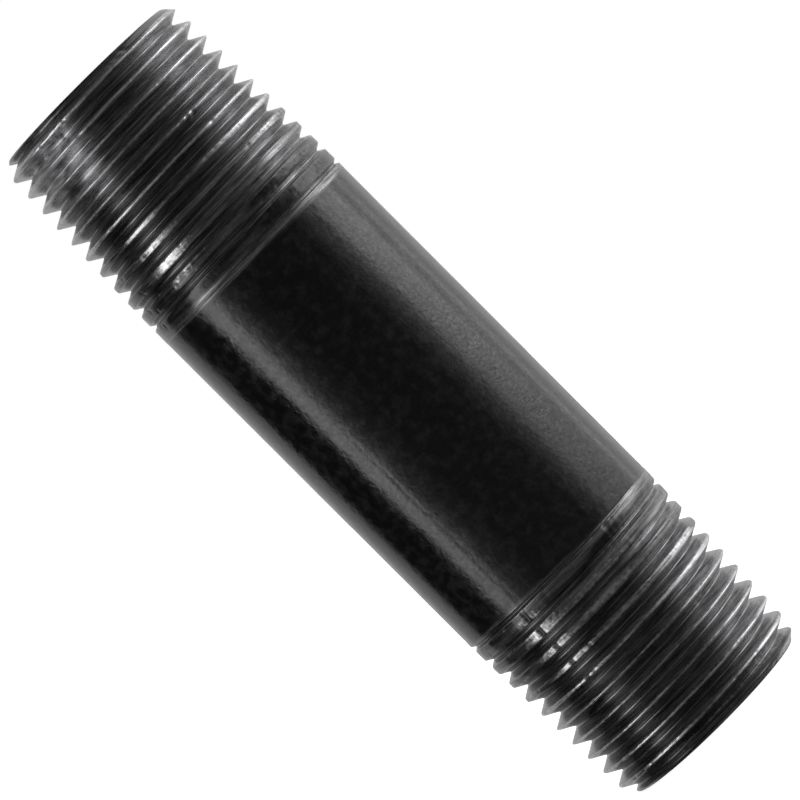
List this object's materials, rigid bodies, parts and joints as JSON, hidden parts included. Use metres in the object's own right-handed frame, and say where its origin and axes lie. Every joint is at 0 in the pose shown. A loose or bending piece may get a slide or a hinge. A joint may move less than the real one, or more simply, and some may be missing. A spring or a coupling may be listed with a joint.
{
  "type": "pipe nipple",
  "caption": "Straight length of black-lacquered steel pipe with an external tapered right-hand pipe thread on each end, open right through.",
  "frame": {"origin": "centre of the lower end face, on the pipe axis", "axes": "+Z along the pipe axis from the lower end face to the upper one; +X through the first crest of each thread, 0.50 mm from the lower end face and 0.66 mm from the upper one; +Y completes the right-handed frame"},
  "size_m": [0.0214, 0.0214, 0.0762],
  "materials": {
    "black_lacquered_steel": "satin-gloss black lacquer over steel, thin and rubbed bright on the thread crests"
  },
  "bodies": {
    "root": {"pipe_nipple": "black_lacquered_steel"}
  },
  "joints": []
}
